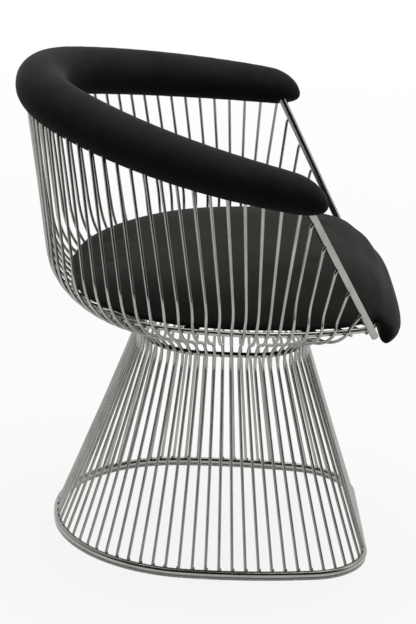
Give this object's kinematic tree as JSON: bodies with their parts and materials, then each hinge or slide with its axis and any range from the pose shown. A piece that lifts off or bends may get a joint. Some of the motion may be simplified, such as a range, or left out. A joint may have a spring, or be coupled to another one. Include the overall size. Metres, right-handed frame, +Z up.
{
  "type": "upholstered chair",
  "caption": "Low wire armchair: a waisted cage of bent steel rods welded to rings, a padded roll along the arms and back, and a crowned seat cushion that folds over the front.",
  "frame": {"origin": "middle of the bounding box on the floor plane", "axes": "+Z up from the floor, -Y the way the sitter faces, +X the sitter's left; the chair mirrors across x = 0"},
  "size_m": [0.6626, 0.577, 0.7212],
  "materials": {
    "steel": "satin nickel plate",
    "clear_plastic": "clear extruded strip",
    "velvet": "black short-pile velvet",
    "foam": "open-cell foam",
    "plywood": "unfinished plywood",
    "lining": "black non-woven lining",
    "black_plastic": "moulded black",
    "zinc_steel": "zinc plate"
  },
  "bodies": {
    "root": {"base_ring": "steel", "floor_strip": "clear_plastic", "neck_ring": "steel", "seat_ring": "steel", "top_rail": "steel", "arm_bar_left": "steel", "arm_bar_right": "steel", "front_rods": "steel", "arm_rods_left": "steel", "arm_rods_right": "steel", "side_rods_left": "steel", "side_rods_right": "steel", "back_rods_left": "steel", "back_rods_right": "steel", "roll_foam": "foam", "roll_cover": "velvet", "seat_foam": "foam", "seat_cover": "velvet", "seat_pan": "plywood", "dust_sheet": "lining", "seat_tabs": "steel", "seat_spacers": "black_plastic", "seat_screws": "zinc_steel", "tee_nuts": "zinc_steel"}
  },
  "joints": []
}
